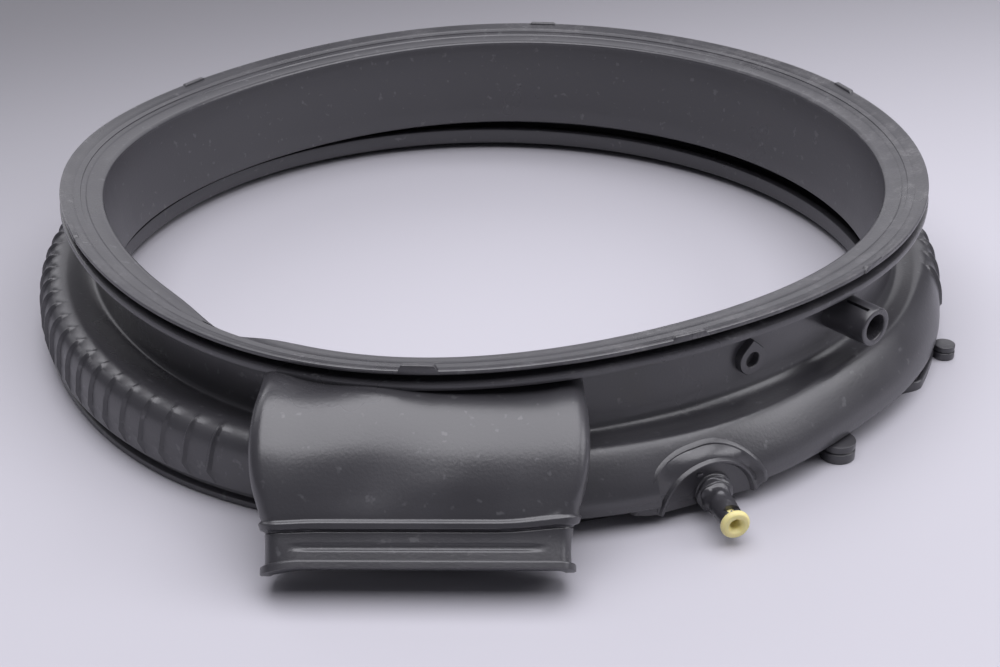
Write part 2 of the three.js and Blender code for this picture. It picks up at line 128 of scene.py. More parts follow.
# The drain spout; its inner end stops inside the ring's wall
DRAIN_ANGLE, DRAIN_HEADING, DRAIN_HEIGHT = -40.1, -50.0, 47.8
DRAIN_LENGTH, DRAIN_ROOT, DRAIN_BORE_R = 20.0, 22.5, 5.0
SLOT_MIDDLE, SLOT_LENGTH, SLOT_WIDTH, SLOT_TURN = 7.7, 11.0, 1.3, 19.0

EYELET_ANGLE, EYELET_HEIGHT = -55.5, 44.6
EYELET_R, EYELET_PEAK, EYELET_HOLE_R = 6.1, 8.2, 3.0

# The boss: its rim as (distance from the axis, distance out from the face), and the hood round it
BOSS_ANGLE, BOSS_HEIGHT = -65.7, 2.2
BOSS_FACE = SKIRT_R - 3.4
BOSS_RIM = [
    (21.2, 0.1), (20.6, 0.4), (20.2, 1.3), (19.9, 1.75), (19.5, 1.85), (19.1, 1.7), (18.8, 1.2), (18.1, 0.15),
]
BOSS_DEEP = 12.0
BOSS_BOTTOM = SKIRT_HEIGHT - 3.4
HOOD_R, HOOD_SPREAD, HOOD_RISE, HOOD_SINK = 24.4, 3.0, 0.5, 3.0

# How far from the boss's axis the shoulder is cleared where there is no hood
CLEARED_R = 21.0

# The pegs and the nub of the boss as (angle, height, distance out from the face, size)
BOSS_TRIM = [
    (-71.5, 6.8, 0.4, (2.6, 3.0, 5.0)),
    (-59.9, 7.0, 0.4, (2.4, 2.8, 3.6)),
    (-66.9, 17.2, 0.3, (1.4, 2.4, 1.6)),
]

# The spray spout's folded tube as (radius, distance out), and its tears as (sideways, length, half width)
SPRAY_ANGLE, SPRAY_HEIGHT, SPRAY_HEADING = -65.2, 9.0, -75.0
SPRAY_LENGTH, SPRAY_BORE_R = 20.5, 2.9
SPRAY_TUBE = [
    (7.5, -1.0), (7.3, 0.7), (6.2, 1.3), (6.9, 2.2), (6.7, 3.1), (5.6, 3.7), (6.1, 4.6), (5.5, 5.4),
    (5.0, 6.6), (4.75, 9.0), (4.6, 12.0), (4.5, 15.5), (4.4, SPRAY_LENGTH),
]
TEARS = [(0.6, 5.2, 3.2), (-1.5, 3.4, 1.8), (2.3, 2.6, 1.4)]
TEAR_BACK = 1.8

# The nozzle's barrel inside the spout
BARREL_R, BARREL_BORE_R, BARREL_LENGTH = 2.6, 1.9, 12.0

# Lugs as (angle, how far past the flange, radius, height)
LUGS = [(-45.8, 8.2, 6.7, 7.4), (-17.3, 6.7, 4.5, 6.0)]
LUG_BRIDGE = 2.9
STRAP_TO, STRAP_R, STRAP_WIDTH, STRAP_HEIGHT = -29.5, 193.2, 1.8, 4.0

# Ends of the soft fold on the shoulder, as (angle, height)
CREASE_FROM, CREASE_TO = (-74.5, 20.5), (-60.0, 30.2)
CREASE_RISE, CREASE_WIDTH, CREASE_MIN_R = 1.1, 1.3, 176.0

# Colours of the dust on the rubber and of the scuffs on the lip
DUST_COLOR = (0.26, 0.26, 0.27, 1)
SCUFF_COLOR = (0.17, 0.165, 0.17, 1)

# How the camera is turned, in degrees
CAMERA_YAW, CAMERA_DOWN, CAMERA_ROLL = 0.33, 28.73, -0.22

# Painted shade: the table's colour darkens from one line to another, standing for light that falls off
# towards the back left; both lines run along Y = FLOOR_SLANT times X plus a distance in metres
FLOOR_HALF = 4.0
FLOOR_SLANT = 0.42
FLOOR_SHADE_START, FLOOR_SHADE_FULL, FLOOR_SHADE_SHARE = -0.08, 0.6, 0.34

STUDIO_WHITE = (0.96, 0.95, 1.0)
WORLD_COLOR = (0.9, 0.9, 1.0, 1)
WORLD_STRENGTH = 0.16


class SealSizes(bpy.types.PropertyGroup):
    """Sizes of the rubber ring."""

    rib_width: bpy.props.FloatProperty(
        name="Rib width", description="Width of a rib at its foot", default=0.0026, unit="LENGTH"
    )
    rib_rise: bpy.props.FloatProperty(
        name="Rib rise", description="How far a rib stands off the shoulder", default=0.0013, unit="LENGTH"
    )
    rib_pitch: bpy.props.FloatProperty(
        name="Rib pitch", description="Angle from one rib to the next",
        default=math.radians(3.52), subtype="ANGLE"
    )
    tab_width: bpy.props.FloatProperty(
        name="Tab width", description="Length of a rim block along the rim", default=0.0155, unit="LENGTH"
    )
    rubber_color: bpy.props.FloatVectorProperty(
        name="Rubber", description="Colour of the rubber",
        default=(0.04, 0.039, 0.044), subtype="COLOR", size=3
    )


class SpoutSizes(bpy.types.PropertyGroup):
    """Sizes of the duct, the spouts and the nozzle."""

    duct_wall: bpy.props.FloatProperty(
        name="Duct wall", description="Thickness of the duct's rubber", default=0.0026, unit="LENGTH"
    )
    drain_radius: bpy.props.FloatProperty(
        name="Drain radius", description="Outer radius of the drain spout", default=0.00763, unit="LENGTH"
    )
    nozzle_radius: bpy.props.FloatProperty(
        name="Nozzle radius", description="Radius of the nozzle's flange", default=0.0054, unit="LENGTH"
    )
    nozzle_color: bpy.props.FloatVectorProperty(
        name="Nozzle", description="Colour of the plastic nozzle",
        default=(0.86, 0.77, 0.35), subtype="COLOR", size=3
    )


class StageSettings(bpy.types.PropertyGroup):
    """Camera, table and lights."""

    lens: bpy.props.FloatProperty(
        name="Lens", description="Focal length on a sensor 36 mm wide", default=64.97, unit="CAMERA"
    )
    camera_back: bpy.props.FloatProperty(
        name="Camera distance", description="How far the camera stands in front of the ring's axis",
        default=0.7121, unit="LENGTH"
    )
    camera_height: bpy.props.FloatProperty(
        name="Camera height", description="Height of the camera above the table",
        default=0.3703, unit="LENGTH"
    )
    floor_color: bpy.props.FloatVectorProperty(
        name="Table", description="Colour of the pale table",
        default=(0.53, 0.52, 0.563), subtype="COLOR", size=3
    )
    key_power: bpy.props.FloatProperty(
        name="Key light", description="Power of the soft light overhead",
        default=15.0, unit="POWER"
    )
    back_power: bpy.props.FloatProperty(
        name="Back light", description="Power of the soft light low behind",
        default=5.0, unit="POWER"
    )
    right_power: bpy.props.FloatProperty(
        name="Right light", description="Power of the soft light at the right",
        default=5.0, unit="POWER"
    )
    left_power: bpy.props.FloatProperty(
        name="Left light", description="Power of the soft light at the back left",
        default=2.0, unit="POWER"
    )


def smooth_step(value, low, high):
    t = min(max((value - low) / (high - low), 0.0), 1.0)
    return t * t * (3 - 2 * t)


def mix(a, b, t):
    return a + (b - a) * t


def corner_curve(start, corner, end, t):
    """A point of the curve that rounds a corner."""
    return start * (1 - t) ** 2 + corner * 2 * t * (1 - t) + end * t * t


def waves(terms, angle):
    return sum(size * math.cos(math.radians(count * (angle - crest))) for count, size, crest in terms)


def turn_between(angle, middle):
    """The turn from one angle to another, from -180 to 180."""
    return (angle - middle + 180) % 360 - 180


def bumps(terms, angle):
    return sum(size * math.exp(-((turn_between(angle, middle) / half) ** 2)) for middle, half, size in terms)


def flange_radius(angle):
    return FLANGE_R - bumps(FLANGE_TUCKS, angle)


def to_frame(x, y, z):
    """Millimetres from the ring's axis to metres in the part's frame."""
    return Vector((x * MM, (y + RING_Y) * MM, z * MM))


def polar(angle, r, z):
    a = math.radians(angle)
    return to_frame(r * math.cos(a), r * math.sin(a), z)


def place(angle, r, z, lean=0.0):
    """Where a point of the section comes at an angle round the ring."""
    radius = r + waves(RING_OVAL, angle) + mix(bumps(BASE_BULGES, angle), waves(LIP_OVAL, angle), lean)
    return polar(angle, radius, z + lean * waves(LIP_LEAN, angle))


def flatness(angle):
    """1 where the shoulder is flat, 0 where it is round."""
    half = (FLAT_TO - FLAT_FROM) / 2
    return 1 - smooth_step(abs(turn_between(angle, (FLAT_FROM + FLAT_TO) / 2)), half, half + FLAT_FADE)


def shoulder(flat):
    """The shoulder's outline as (radius, height), from the wall down to the skirt."""
    return [
        (
            WALL_R + SHOULDER_REACH * mix(a[0], b[0], flat),
            SKIRT_HEIGHT + SHOULDER_RISE * mix(a[1], b[1], flat),
        )
        for a, b in zip(SHOULDER_ROUND, SHOULDER_FLAT)
    ]


def inset(points, thickness):
    """Moves each point of an outline to its right."""
    moved = []
    for i, (r, z) in enumerate(points):
        r0, z0 = points[max(i - 1, 0)]
        r1, z1 = points[min(i + 1, len(points) - 1)]
        length = math.hypot(r1 - r0, z1 - z0)
        moved.append((r + (z1 - z0) / length * thickness, z - (r1 - r0) / length * thickness))
    return moved


# Kinds of corner in the section
SHARP, ROUND, SMOOTH, RIB = "sharp", "round", "smooth", "rib"


def section_corners(angle):
    """The section's corners at an angle, as (radius, height, lean, kind, size of the round)."""
    top = LIP_HEIGHT - 0.7
    low = top - 3.5
    clamp_r = WALL_R + 12.4
    clamp_low = low - 2.6
    droop = bumps(LIP_DROOPS, angle)
    outer = [(r, z, 0.0, RIB, 0) for r, z in shoulder(flatness(angle))]
    outer.append((SKIRT_R, SKIRT_HEIGHT, 0.0, ROUND, 0.7))
    inner = inset([(p[0], p[1]) for p in outer], WALL_THICK)[:-1]
    flange_r = flange_radius(angle)
    groove_r = flange_r - 2.4
    flange_top = SKIRT_HEIGHT - 4.8
    flange_in = max(flange_r - FLANGE_WIDTH, BASE_RING_R + 5.0)
    foot = MOUTH_R
    return [
        (MOUTH_R, LIP_HEIGHT - 3.5 - droop, 1, ROUND, 0.5),
        (MOUTH_R + 1.5, LIP_HEIGHT - 2.7 - droop * 0.9, 1, SMOOTH, 0),
        (MOUTH_R + 2.6, LIP_HEIGHT - 3.0 - droop * 0.8, 1, SMOOTH, 0),
        (MOUTH_R + 6.8, LIP_HEIGHT - 2.1 - droop * 0.5, 1, ROUND, 0.3),
        (MOUTH_R + 7.2, LIP_HEIGHT - 1.7 - droop * 0.5, 1, ROUND, 0.3),
        (MOUTH_R + 10.9, LIP_HEIGHT - 0.7 - droop * 0.15, 1, SMOOTH, 0),
        (MOUTH_R + 11.6, LIP_HEIGHT - 1.1, 1, SMOOTH, 0),
        (MOUTH_R + 12.4, LIP_HEIGHT - 0.3, 1, SMOOTH, 0),
        (MOUTH_R + 15.4, LIP_HEIGHT + 0.35, 1, SMOOTH, 0),
        (LIP_R - 1.0, LIP_HEIGHT + 1.0, 1, ROUND, 0.4),
        (LIP_R, LIP_HEIGHT + 0.8, 1, ROUND, 0.4),
        (LIP_R, top, 1, ROUND, 0.4),
        (WALL_R + 3.5, top, 1, ROUND, 0.6),
        (WALL_R + 3.5, low, 1, ROUND, 0.6),
        (clamp_r, low, 1, ROUND, 0.8),
        (clamp_r, clamp_low, 1, ROUND, 0.8),
        (WALL_R + 2.4, clamp_low - 0.9, 1, SMOOTH, 0),
        (WALL_R, clamp_low - 3.4, 1, SMOOTH, 0),
        (WALL_R, mix(29.0, clamp_low, 0.6), 0.95, SMOOTH, 0),
        (WALL_R, mix(29.0, clamp_low, 0.3), 0.85, SMOOTH, 0),
        (WALL_R + 0.4, 30.8, WALL_LEAN, SMOOTH, 0),
        (WALL_R + 1.4, 29.0, WALL_LEAN, ROUND, 0.7),
        (WALL_R + 4.0, 28.2, WALL_LEAN / 2, SMOOTH, 0),
        *outer,
        (groove_r, SKIRT_HEIGHT - 0.6, 0, ROUND, 0.4),
        (groove_r, flange_top, 0, ROUND, 0.4),
        (flange_r, flange_top - 0.6, 0, ROUND, 0.6),
        (flange_r, 0.8, 0, SHARP, 0),
        (flange_r - 0.8, 0, 0, SHARP, 0),
        (flange_in, 0, 0, ROUND, 1.0),
        (BASE_RING_R + 0.4, BASE_RING_LOW, 0, ROUND, 0.8),
        (BASE_RING_R, BASE_RING_HIGH, 0, ROUND, 0.8),
        (BASE_RING_R + 3.6, BASE_RING_HIGH + 0.4, 0, ROUND, 0.8),
        (BASE_RING_R + 5.0, 6.0, 0, ROUND, 0.8),
        (groove_r - 3.0, 6.0, 0, ROUND, 0.4),
        (groove_r - 3.0, SKIRT_HEIGHT, 0, ROUND, 0.4),
        *[(r, z, 0.0, SMOOTH, 0) for r, z in reversed(inner)],
        (WALL_R - 0.6, 24.8, WALL_LEAN, SMOOTH, 0),
        (foot + 3.0, 17.4, WALL_LEAN, ROUND, 0.7),
        (foot + 1.5, 16.6, WALL_LEAN, SHARP, 0),
        (foot, 17.4, WALL_LEAN, ROUND, 0.7),
        (WALL_R - 3.6, 33.0, WALL_LEAN, SMOOTH, 0),
        (WALL_R - WALL_THICK, clamp_low - 3.0, 1, SMOOTH, 0),
        (WALL_R - 2.4, low - 0.6, 1, SMOOTH, 0),
        (MOUTH_R, LIP_HEIGHT - 4.7 - droop, 1, ROUND, 0.5),
    ]


def rounded(corners):
    """Breaks each corner into a short curve's points, as (radius, height, lean, is on a ribbed face)."""
    points = []
    for i, (r, z, lean, kind, size) in enumerate(corners):
        here = Vector((r, z, lean))
        before = Vector(corners[i - 1][:3])
        after = Vector(corners[(i + 1) % len(corners)][:3])
        if kind == SHARP:
            points.append((*here, False))
            continue
        if kind == ROUND:
            start = here + (before - here) * min(size / (before - here).xy.length, 0.45)
            end = here + (after - here) * min(size / (after - here).xy.length, 0.45)
            steps = (0.0, 0.5, 1.0)
        else:
            start = (before + here) / 2
            end = (here + after) / 2
            steps = (0.0, 0.2, 0.4, 0.6, 0.8) if kind == RIB else (0.0, 0.5)
        points += [(*corner_curve(start, here, end, t), kind == RIB) for t in steps]
    return points


def rib_angles(pitch):
    return [first + i * pitch for first, number in RIB_ROWS for i in range(number)]


def ring_stations(pitch, width_angle):
    """The angles of the ring's steps: each rib has its own, and plain stretches have even ones."""
    stations = []
    rows = sorted((first - pitch / 2, number) for first, number in RIB_ROWS)
    for i, (start, number) in enumerate(rows):
        for rib in range(number):
            middle = start + (rib + 0.5) * pitch
            stations.append(start + rib * pitch)
            stations += [middle + step * width_angle for step in RIB_STEPS]
        end = start + number * pitch
        following = rows[(i + 1) % len(rows)][0] + (360 if i + 1 == len(rows) else 0)
        count = max(int((following - end) / PLAIN_STEP), 1)
        stations += [mix(end, following, k / count) for k in range(count)]
    return stations


def loft(loops, closed_across=True, closed_along=False):
    """A sheet of quads from Blender's grid, with its points moved to those of loops of points."""
    bm = bmesh.new()
    across, along = len(loops[0]), len(loops)
    wide = across if closed_across else across - 1
    long = along if closed_along else along - 1
    bmesh.ops.create_grid(bm, x_segments=wide, y_segments=long, size=1.0)
    for vert in bm.verts:
        i = round((vert.co.x + 1) / 2 * wide)
        j = round((vert.co.y + 1) / 2 * long)
        vert.co = loops[j % along][i % across]
    bmesh.ops.remove_doubles(bm, verts=bm.verts, dist=SAME_POINT)
    return bm


def close_ends(bm):
    bmesh.ops.holes_fill(bm, edges=[edge for edge in bm.edges if edge.is_boundary], sides=0)


def finish_mesh(bm, name, material=None):
    """Makes an object of a mesh, of rubber unless told otherwise, smooth but for its sharp edges."""
    bmesh.ops.recalc_face_normals(bm, faces=bm.faces)
    mesh = bpy.data.meshes.new(name)
    bm.to_mesh(mesh)
    bm.free()
    mesh.materials.append(material or rubber_material())
    piece = bpy.data.objects.new(name, mesh)
    bpy.context.scene.collection.objects.link(piece)
    shade(piece)
    return piece


def shade(piece):
    mesh = piece.data
    mesh.polygons.foreach_set("use_smooth", [True] * len(mesh.polygons))
    mesh.set_sharp_from_angle(angle=SHARP_TURN)
    mesh.update()


def cut_with(piece, cutter):
    """Cuts a solid out of a piece and deletes the cutter."""
    modifier = piece.modifiers.new("cut", "BOOLEAN")
    modifier.operation = "DIFFERENCE"
    modifier.object = cutter
    modifier.solver = "MANIFOLD"
    bpy.context.view_layer.update()
    evaluated = piece.evaluated_get(bpy.context.evaluated_depsgraph_get())
    mesh = bpy.data.meshes.new_from_object(evaluated)
    piece.modifiers.clear()
    old = piece.data
    piece.data = mesh
    mesh.name = old.name
    bpy.data.meshes.remove(old)
    waste = cutter.data
    bpy.data.objects.remove(cutter)
    bpy.data.meshes.remove(waste)


def turned(outline, steps, closed=False):
    """A mesh turned about +Z from (radius, height) points in millimetres."""
    bm = bmesh.new()
    verts = [bm.verts.new((r * MM, 0, z * MM)) for r, z in outline]
    ends = verts + verts[:1] if closed else verts
    edges = [bm.edges.new(pair) for pair in zip(ends, ends[1:])]
    bmesh.ops.spin(
        bm, geom=verts + edges, cent=(0, 0, 0), axis=(0, 0, 1), dvec=(0, 0, 0),
        angle=math.tau, steps=steps, use_merge=True, use_duplicate=False,
    )
    bmesh.ops.remove_doubles(bm, verts=bm.verts, dist=SAME_POINT)
    return bm


def turned_by(angle):
    return Matrix.Rotation(math.radians(angle), 4, "Z")


def aim(bm, heading, origin):
    """Turns a mesh made along +Z to point along a heading, with its -X side up, and moves it to its place."""
    turn = turned_by(heading) @ Matrix.Rotation(math.pi / 2, 4, "Y")
    bmesh.ops.transform(bm, matrix=Matrix.Translation(origin) @ turn, verts=bm.verts)
    return bm


def as_piece(piece):
    """Hangs an object under the part's root body, keeping where it stands."""
    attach(piece, "root")
    return piece


def round_outline(corners, radius):
    """Rounds the corners of an open outline of (radius, height) points; the first and last stay."""
    steps = 3
    points = [corners[0]]
    for before, here, after in zip(corners, corners[1:], corners[2:]):
        p0, p1, p2 = Vector(before), Vector(here), Vector(after)
        start = p1 + (p0 - p1) * min(radius / (p0 - p1).length, 0.45)
        end = p1 + (p2 - p1) * min(radius / (p2 - p1).length, 0.45)
        for k in range(steps + 1):
            points.append(tuple(corner_curve(start, p1, end, k / steps)))
    points.append(corners[-1])
    return points


def add_node(tree, kind, inputs=None, **settings):
    """Adds a shader node; each of its inputs is given a value, or a socket to link to it."""
    node = tree.nodes.new("ShaderNode" + kind)
    for name, setting in settings.items():
        setattr(node, name, setting)
    for name, value in (inputs or {}).items():
        if isinstance(value, bpy.types.NodeSocket):
            tree.links.new(value, node.inputs[name])
        else:
            node.inputs[name].default_value = value
    return node


def blend(tree, factor, first, second):
    """A colour that goes from the first to the second as a factor goes from 0 to 1."""
    inputs = {"Factor": factor, "A": first, "B": second}
    return add_node(tree, "Mix", inputs, data_type="RGBA").outputs["Result"]


def product(tree, first, second):
    return add_node(tree, "Math", {0: first, 1: second}, operation="MULTIPLY").outputs["Value"]


def new_material(name):
    material = bpy.data.materials.new(name)
    material.use_nodes = True
    material.node_tree.nodes.clear()
    return material


def add_shader(material, inputs):
    """Ends a material's nodes with a shader that has these inputs."""
    shader = add_node(material.node_tree, "BsdfPrincipled", inputs)
    add_node(material.node_tree, "OutputMaterial", {"Surface": shader.outputs["BSDF"]})
    return material


def grain_group():
    """A node group that gives soft blotches, fine grain and dust from a position."""
    group = bpy.data.node_groups.new("Rubber grain", "ShaderNodeTree")
    group.interface.new_socket("Position", in_out="INPUT", socket_type="NodeSocketVector")
    for output in ("Blotch", "Grain", "Dust"):
        group.interface.new_socket(output, in_out="OUTPUT", socket_type="NodeSocketFloat")
    position = group.nodes.new("NodeGroupInput").outputs["Position"]
    sink = group.nodes.new("NodeGroupOutput")
    for output, scale, detail, low, high in (
        ("Blotch", 22.0, 3.0, 0.35, 0.7),
        ("Grain", 900.0, 4.0, 0.3, 0.7),
        ("Dust", 260.0, 2.0, 0.66, 0.74),
    ):
        noise = add_node(group, "TexNoise", {"Vector": position, "Scale": scale, "Detail": detail})
        inputs = {"Value": noise.outputs["Fac"], "From Min": low, "From Max": high}
        spread = add_node(group, "MapRange", inputs)
        group.links.new(spread.outputs["Result"], sink.inputs[output])
    return group


def lip_wear(tree, position, grain):
    """Where the top of the lip is scuffed: high up, in the grain's high spots."""
    height = add_node(tree, "SeparateXYZ", {"Vector": position}).outputs["Z"]
    inputs = {"Value": height, "From Min": 0.059, "From Max": 0.067, "To Max": 0.9}
    high = add_node(tree, "MapRange", inputs).outputs["Result"]
    inputs = {"Vector": position, "Scale": 70.0, "Detail": 6.0, "Roughness": 0.75}
    scuffs = add_node(tree, "TexNoise", inputs).outputs["Fac"]
    sharp = add_node(tree, "MapRange", {"Value": scuffs, "From Min": 0.48, "From Max": 0.68})
    return product(tree, product(tree, high, sharp.outputs["Result"]), grain)


def rubber_material():
    """The boot's rubber: near black and satin, a little dusty, with a scuffed lip."""
    if "Rubber" in bpy.data.materials:
        return bpy.data.materials["Rubber"]
    color = bpy.context.scene.door_seal.rubber_color
    lighter = [channel * 1.22 for channel in color]
    material = new_material("Rubber")
    tree = material.node_tree
    position = add_node(tree, "TexCoord").outputs["Object"]
    grain = add_node(tree, "Group", {"Position": position}, node_tree=grain_group()).outputs
    tint = blend(tree, grain["Blotch"], (*color, 1), (*lighter, 1))
    dusty = blend(tree, product(tree, grain["Dust"], 0.2), tint, DUST_COLOR)
    worn = blend(tree, lip_wear(tree, position, grain["Grain"]), dusty, SCUFF_COLOR)
    rough = add_node(tree, "MapRange", {"Value": grain["Blotch"], "To Min": 0.27, "To Max": 0.4})
    bump = add_node(tree, "Bump", {"Height": grain["Grain"], "Strength": 0.12, "Distance": 0.0002})
    return add_shader(material, {
        "Base Color": worn, "Roughness": rough.outputs["Result"], "Specular IOR Level": 0.85,
        "Normal": bump.outputs["Normal"],
    })


def plastic_material():
    """The nozzle's yellow plastic, a little translucent."""
    color = bpy.context.scene.seal_spouts.nozzle_color
    return add_shader(new_material("Nozzle plastic"), {
        "Base Color": (*color, 1), "Roughness": 0.38, "Subsurface Weight": 0.15,
        "Subsurface Radius": (0.004, 0.003, 0.001),
    })


def rib_window(angle, pitch):
    """1 along a row of ribs, fading to 0 past its ends."""
    window = 0.0
    for first, number in RIB_ROWS:
        half = pitch * (number - 1) / 2
        off = abs(turn_between(angle, first + half))
        window = max(window, 1 - smooth_step(off, half, half + 3 * pitch))
    return window


def crease(angle, r, z):
    """A soft fold that runs up over the flat stretch of the shoulder, left of the boss."""
    along = (angle - CREASE_FROM[0]) / (CREASE_TO[0] - CREASE_FROM[0])
    if not -0.5 < along < 1.5:
        return 0.0
    middle = mix(CREASE_FROM[1], CREASE_TO[1], along)
    fade = smooth_step(along, -0.3, 0.1) * (1 - smooth_step(along, 0.9, 1.3))
    return CREASE_RISE * fade * math.exp(-(((z - middle) / CREASE_WIDTH) ** 2)) if r > CREASE_MIN_R else 0.0


def ring_loop(angle, rib_lift, window):
    """The section's points at an angle, with the ribs and the crease raised on the shoulder."""
    points = rounded(section_corners(angle))
    loop = []
    for i, (r, z, lean, ribbed) in enumerate(points):
        skew = 0.0
        if ribbed:
            r0, z0 = points[i - 1][:2]
            r1, z1 = points[(i + 1) % len(points)][:2]
            length = math.hypot(r1 - r0, z1 - z0)
            fade = smooth_step(r, RIB_TOP_R, RIB_TOP_R + RIB_FADE)
            fade *= smooth_step(z, SKIRT_HEIGHT + 0.2, SKIRT_HEIGHT + 1.4)
            skew = RIB_SKEW * window * smooth_step(SKIRT_HEIGHT + SHOULDER_RISE - z, 0, SHOULDER_RISE)
            lift = rib_lift * fade + crease(angle, r, z)
            r, z = r - (z1 - z0) / length * lift, z + (r1 - r0) / length * lift
        loop.append(place(angle + skew, r, z, lean))
    return loop


def build_ring():
    sizes = bpy.context.scene.door_seal
    pitch = math.degrees(sizes.rib_pitch)
    width_angle = math.degrees(sizes.rib_width / (SKIRT_R * MM))
    ribs = rib_angles(pitch)
    rise = sizes.rib_rise / MM

    def rib_height(angle):
        nearest = min(abs(turn_between(angle, rib)) for rib in ribs)
        return 1 - smooth_step(nearest / width_angle, 0.05, 0.5)

    loops = [
        ring_loop(angle, rise * rib_height(angle), rib_window(angle, pitch))
        for angle in ring_stations(pitch, width_angle)
    ]
    return finish_mesh(loft(loops, closed_along=True), "seal_ring")


def duct_spline(values, knot):
    """The smooth curve through evenly numbered values, at a knot."""
    last = len(values) - 1
    knot = min(max(knot, 0.0), float(last))
    k = min(int(knot), last - 1)
    t = knot - k
    p1, p2 = values[k], values[k + 1]
    p0 = values[k - 1] if k > 0 else 2 * p1 - p2
    p3 = values[k + 2] if k + 2 <= last else 2 * p2 - p1
    return 0.5 * (2 * p1 + (p2 - p0) * t + (2 * p0 - 5 * p1 + 4 * p2 - p3) * t * t
                  + (3 * p1 - p0 - 3 * p2 + p3) * t ** 3)


def duct_middle(knot):
    return Vector((
        DUCT_X,
        duct_spline([-WALL_R - out for out, _ in DUCT_PATH], knot),
        duct_spline([height for _, height in DUCT_PATH], knot),
    ))


def duct_knots():
    """Pairs of (distance back from the mouth, knot) along the duct."""
    steps = 280
    last = len(DUCT_PATH) - 1
    pairs = [(0.0, float(last))]
    for k in range(steps - 1, -1, -1):
        knot = last * k / steps
        step = (duct_middle(knot) - duct_middle(pairs[-1][1])).length
        pairs.append((pairs[-1][0] + step, knot))
    return pairs


DUCT_KNOTS = duct_knots()
DUCT_LENGTH = DUCT_KNOTS[-1][0]


def duct_knot(from_mouth):
    for (d0, k0), (d1, k1) in zip(DUCT_KNOTS, DUCT_KNOTS[1:]):
        if from_mouth <= d1:
            return mix(k0, k1, (from_mouth - d0) / (d1 - d0))
    return 0.0


def duct_margin(from_mouth, u, v, half_w):
    """How far the duct's skin stands out: a bead with a fine line under it, and the rim of the mouth."""
    on_bead = from_mouth - 2.2 * smooth_step(u, half_w - 26, half_w)
    on_bead += 0.8 * smooth_step(-u, half_w - 20, half_w)
    bead = BEAD_RISE * smooth_step(on_bead, BEAD_START, BEAD_START + 0.6)
    bead *= 1 - smooth_step(on_bead, BEAD_END - 1.5, BEAD_END)
    line = -LINE_DEPTH * math.exp(-(((on_bead - LINE_AT) / LINE_WIDTH) ** 2))
    rim = RIM_RISE * (1 - smooth_step(from_mouth, RIM_LENGTH, RIM_LENGTH + 0.7))
    rim *= 1 - 0.7 * smooth_step(-v, 0, 4)
    return bead + line + rim


def duct_dents(u, from_mouth, half_w):
    """Shallow dents of the soft top, and the long groove of its collar."""
    dents = 0.9 * math.sin(u / 12 - from_mouth / 26 + 1.4) * math.sin(from_mouth / 15 + 0.6)
    dents += 0.3 * math.sin(u / 6.5 - from_mouth / 14 + 2.1)
    dents *= smooth_step(from_mouth, BEAD_END, 30) * (1 - smooth_step(abs(u), half_w - 14, half_w - 6))
    groove = -GROOVE_DEPTH * math.exp(-(((from_mouth - GROOVE_AT) / GROOVE_WIDTH) ** 4))
    return dents + groove * (1 - smooth_step(abs(u), GROOVE_HALF, GROOVE_HALF + 1.5))


def rounded_box(half_w, half_d, round_r):
    """A rounded rectangle's points as (sideways, up, and its outward direction in the same two)."""
    steps, flat_steps = 7, 44
    corners = ((1, 1), (-1, 1), (-1, -1), (1, -1))
    loop = []
    for quarter, (sx, sy) in enumerate(corners):
        for step in range(steps + 1):
            turn = math.pi / 2 * (quarter + step / steps)
            across, deep = math.cos(turn), math.sin(turn)
            u = sx * (half_w - round_r) + round_r * across
            v = sy * (half_d - round_r) + round_r * deep
            loop.append((u, v, across, deep))
        if quarter in (0, 2):
            nx = corners[quarter + 1][0]
            for k in range(1, flat_steps):
                loop.append((mix(sx, nx, k / flat_steps) * (half_w - round_r), sy * half_d, 0, sy))
    return loop


def duct_loop(from_mouth, margin, past=0.0, is_outer=False, is_trimmed=False):
    """A rounded rectangle across the duct, at a distance back from its mouth."""
    knot = duct_knot(from_mouth)
    ahead = (duct_middle(knot + 0.01) - duct_middle(knot - 0.01)).normalized()
    centre = duct_middle(knot) + ahead * past
    side = Vector((1, 0, 0))
    up = ahead.cross(side)
    half_w = duct_spline(DUCT_WIDTHS, knot) / 2 + margin
    half_d = duct_spline(DUCT_DEPTHS, knot) / 2 + margin
    turn = Matrix.Rotation(math.radians(DUCT_TURN), 3, "Z")
    pivot = Vector((DUCT_X, duct_middle(len(DUCT_PATH) - 1).y, 0))
    placed = []
    top_sign = 1 if up.z > 0 else -1
    mouth_share = 1 - smooth_step(from_mouth, 0, 9)
    for u, v, across, deep in rounded_box(half_w, half_d, max(DUCT_ROUND + margin, 0.6)):
        top = v * top_sign
        if is_outer:
            out = duct_margin(from_mouth, u, top, half_w)
            if top > half_d * 0.98:
                out += duct_dents(u, from_mouth, half_w)
            u, v = u + across * out, v + deep * out
        hang = 2.0 * mouth_share * smooth_step(-u, half_w - 12, half_w + 1) * smooth_step(top, -2, 4)
        recess = 3.2 * mouth_share * smooth_step(-top / half_d, -0.3, 1)
        point = turn @ (centre + side * u + up * v - ahead * recess - pivot) + pivot
        point.z -= hang
        if is_trimmed and point.y > -DUCT_FREE:
            wall_y = -math.sqrt((WALL_R - 1.5) ** 2 - point.x ** 2)
            back = (point.y + DUCT_FREE) / (DUCT_FREE - WALL_R - DUCT_PATH[0][0])
            point.y = mix(-DUCT_FREE, wall_y, min(back, 1.0))
        placed.append(to_frame(*point))
    return placed


